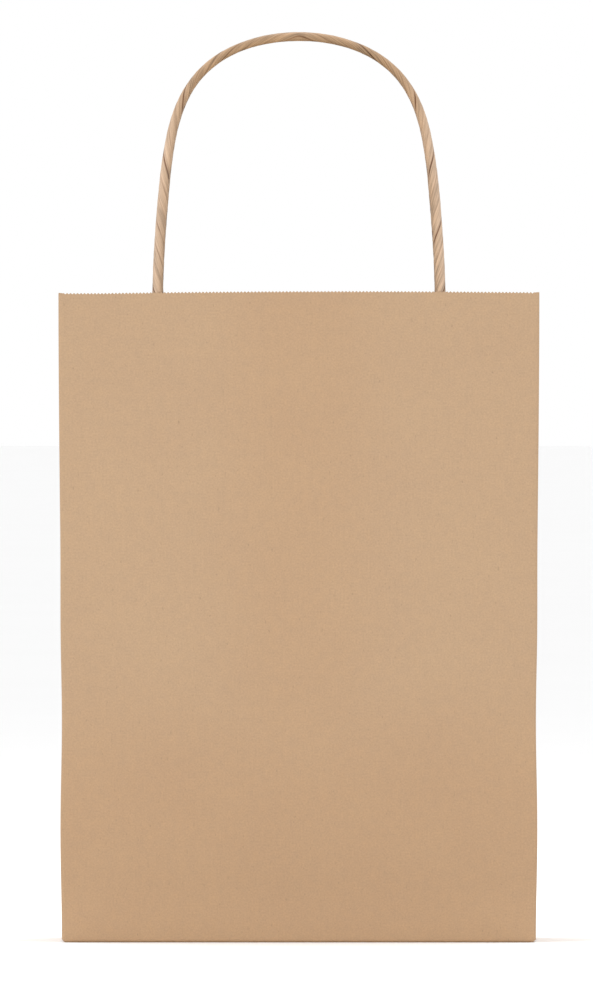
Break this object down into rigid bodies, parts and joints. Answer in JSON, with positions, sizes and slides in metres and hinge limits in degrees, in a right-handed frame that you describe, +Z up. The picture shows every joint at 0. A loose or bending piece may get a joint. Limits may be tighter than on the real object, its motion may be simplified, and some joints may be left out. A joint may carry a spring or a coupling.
{
  "type": "gift bag",
  "caption": "Upright kraft paper carrier bag with a pinked rim, folding side gussets, a flap-folded base and twisted paper cord handles.",
  "frame": {"origin": "middle of the base, on the ground", "axes": "+X to the bag's right seen from the front, +Z up, the front face looks towards -Y"},
  "size_m": [0.18, 0.08, 0.3403],
  "materials": {
    "kraft_paper": "matt brown kraft",
    "strip_paper": "matt brown kraft, a little darker",
    "twisted_cord": "satin twisted kraft paper"
  },
  "bodies": {
    "front_wall": {"front_panel": "kraft_paper", "front_strip_backing": "strip_paper", "front_strip_cover": "strip_paper", "front_cord_end_left": "twisted_cord", "front_cord_end_right": "twisted_cord"},
    "front_handle": {"front_handle_cord": "twisted_cord"},
    "left_gusset_front": {"left_gusset_front_half": "kraft_paper"},
    "left_gusset_rear": {"left_gusset_rear_half": "kraft_paper"},
    "right_gusset_front": {"right_gusset_front_half": "kraft_paper"},
    "right_gusset_rear": {"right_gusset_rear_half": "kraft_paper"},
    "back_wall": {"back_panel": "kraft_paper", "side_seam_lap": "kraft_paper", "rear_strip_backing": "strip_paper", "rear_strip_cover": "strip_paper", "rear_cord_end_left": "twisted_cord", "rear_cord_end_right": "twisted_cord"},
    "rear_handle": {"rear_handle_cord": "twisted_cord"},
    "back_foot": {"back_panel_foot": "kraft_paper", "side_seam_lap_foot": "kraft_paper"},
    "base": {"bottom_front_flap": "kraft_paper", "bottom_rear_flap": "kraft_paper", "bottom_tuck_left": "kraft_paper", "bottom_tuck_right": "kraft_paper"},
    "left_corner": {"left_corner_web": "kraft_paper"},
    "right_corner": {"right_corner_web": "kraft_paper"},
    "left_rear_corner": {"left_rear_web": "kraft_paper"},
    "right_rear_corner": {"right_rear_web": "kraft_paper"}
  },
  "joints": [
    {"name": "fold_flat", "type": "hinge", "parent": "front_wall", "child": "left_gusset_front", "pos_m": [-0.0887, -0.0387, 0.12], "axis": [0, 0, -1], "range_deg": [0, 85]},
    {"name": "left_gusset_crease", "type": "hinge", "parent": "left_gusset_front", "child": "left_gusset_rear", "pos_m": [-0.09, 0, 0.12], "axis": [0, 0, 1], "range_deg": [0, 170]},
    {"name": "left_rear_edge", "type": "hinge", "parent": "left_gusset_rear", "child": "back_wall", "pos_m": [-0.0887, 0.0387, 0.12], "axis": [0, 0, -1], "range_deg": [0, 85]},
    {"name": "right_front_edge", "type": "hinge", "parent": "front_wall", "child": "right_gusset_front", "pos_m": [0.0887, -0.0387, 0.12], "axis": [0, 0, 1], "range_deg": [0, 85]},
    {"name": "right_gusset_crease", "type": "hinge", "parent": "right_gusset_front", "child": "right_gusset_rear", "pos_m": [0.09, 0, 0.12], "axis": [0, 0, -1], "range_deg": [0, 170]},
    {"name": "back_crease", "type": "hinge", "parent": "back_wall", "child": "back_foot", "pos_m": [0, 0.04, 0.04], "axis": [1, 0, 0], "range_deg": [0, 144.49]},
    {"name": "base_rear_edge", "type": "hinge", "parent": "back_foot", "child": "base", "pos_m": [0, 0.0387, 0.0013], "axis": [-1, 0, 0], "range_deg": [0, 80.69]},
    {"name": "left_corner_fold", "type": "hinge", "parent": "base", "child": "left_corner", "pos_m": [-0.0887, 0, 0.0013], "axis": [0, 1, 0], "range_deg": [0, 80.67], "deforming": ["left_corner_web"]},
    {"name": "right_corner_fold", "type": "hinge", "parent": "base", "child": "right_corner", "pos_m": [0.0887, 0, 0.0013], "axis": [0, -1, 0], "range_deg": [0, 80.67], "deforming": ["right_corner_web"]},
    {"name": "left_rear_fold", "type": "hinge", "parent": "back_foot", "child": "left_rear_corner", "pos_m": [-0.0887, 0.0387, 0.03], "axis": [0, 0, 1], "range_deg": [0, 87.98], "deforming": ["left_rear_web"]},
    {"name": "right_rear_fold", "type": "hinge", "parent": "back_foot", "child": "right_rear_corner", "pos_m": [0.0887, 0.0387, 0.03], "axis": [0, 0, -1], "range_deg": [0, 87.98], "deforming": ["right_rear_web"]},
    {"name": "front_handle_tilt", "type": "hinge", "parent": "front_wall", "child": "front_handle", "pos_m": [0, -0.0379, 0.2451], "axis": [1, 0, 0], "range_deg": [0, 90]},
    {"name": "rear_handle_tilt", "type": "hinge", "parent": "back_wall", "child": "rear_handle", "pos_m": [0, 0.0379, 0.2451], "axis": [-1, 0, 0], "range_deg": [0, 90]}
  ],
  "couplings": [
    {"joint": "left_gusset_crease", "follows": "fold_flat", "ratio": 2},
    {"joint": "left_rear_edge", "follows": "fold_flat", "ratio": 1},
    {"joint": "right_front_edge", "follows": "fold_flat", "ratio": 1},
    {"joint": "right_gusset_crease", "follows": "fold_flat", "ratio": 2},
    {"joint": "back_crease", "follows": "fold_flat", "ratio": 1.6999},
    {"joint": "base_rear_edge", "follows": "fold_flat", "ratio": 0.9493},
    {"joint": "left_corner_fold", "follows": "fold_flat", "ratio": 0.949},
    {"joint": "right_corner_fold", "follows": "fold_flat", "ratio": 0.949},
    {"joint": "left_rear_fold", "follows": "fold_flat", "ratio": 1.035},
    {"joint": "right_rear_fold", "follows": "fold_flat", "ratio": 1.035}
  ]
}
